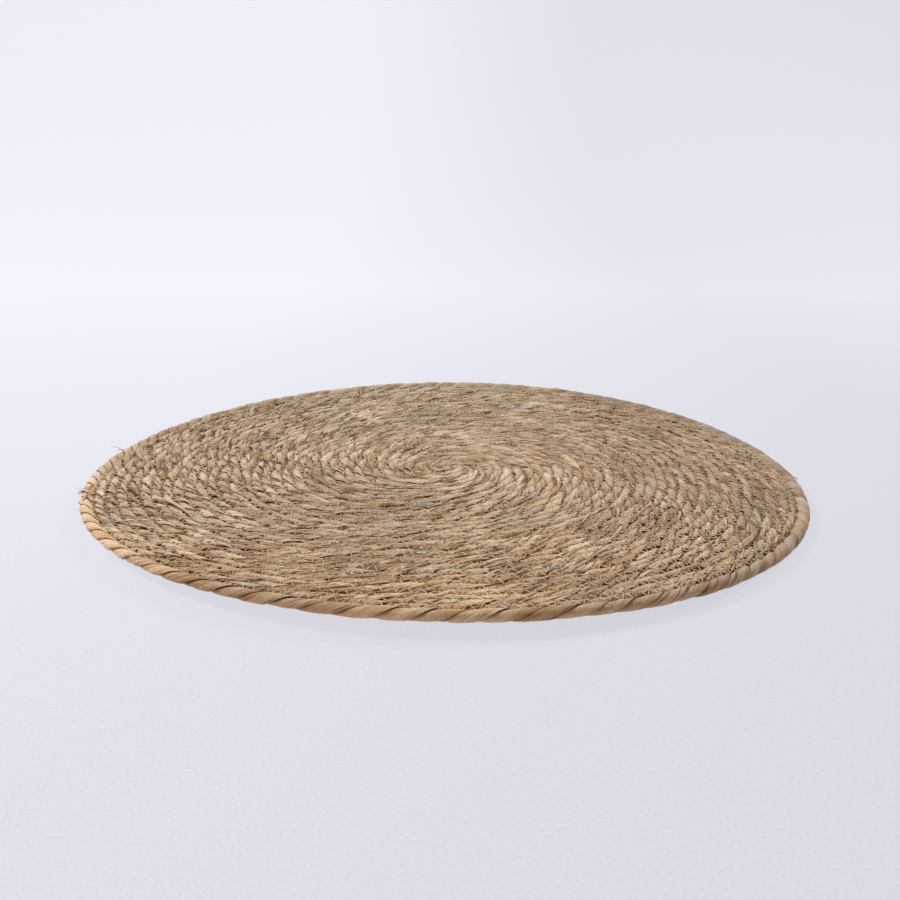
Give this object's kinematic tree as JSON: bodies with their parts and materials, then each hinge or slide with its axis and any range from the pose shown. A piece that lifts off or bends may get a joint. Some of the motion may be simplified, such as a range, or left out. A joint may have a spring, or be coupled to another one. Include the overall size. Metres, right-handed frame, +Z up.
{
  "type": "round coiled palm leaf placemat",
  "caption": "Round flat placemat: a palm leaf cord coiled from the middle outwards and sewn, edged with a smoother twisted rope. It lies on a table under a plate.",
  "frame": {"origin": "on the surface under the middle of the mat", "axes": "+Z up, out of the upper side; -Y towards the viewer of the picture; +X to the right"},
  "size_m": [0.3799, 0.3799, 0.011],
  "materials": {
    "coil_leaf": "dry matt twisted palm leaf, rough and hairy, tan with straw and silver grey streaks",
    "rope_leaf": "smooth dry palm leaf strips with a faint sheen and fine lengthwise veins, pale tan",
    "thread": "thin pale straw coloured sewing thread"
  },
  "bodies": {
    "root": {"coil": "coil_leaf", "rim_rope": "rope_leaf"}
  },
  "joints": []
}
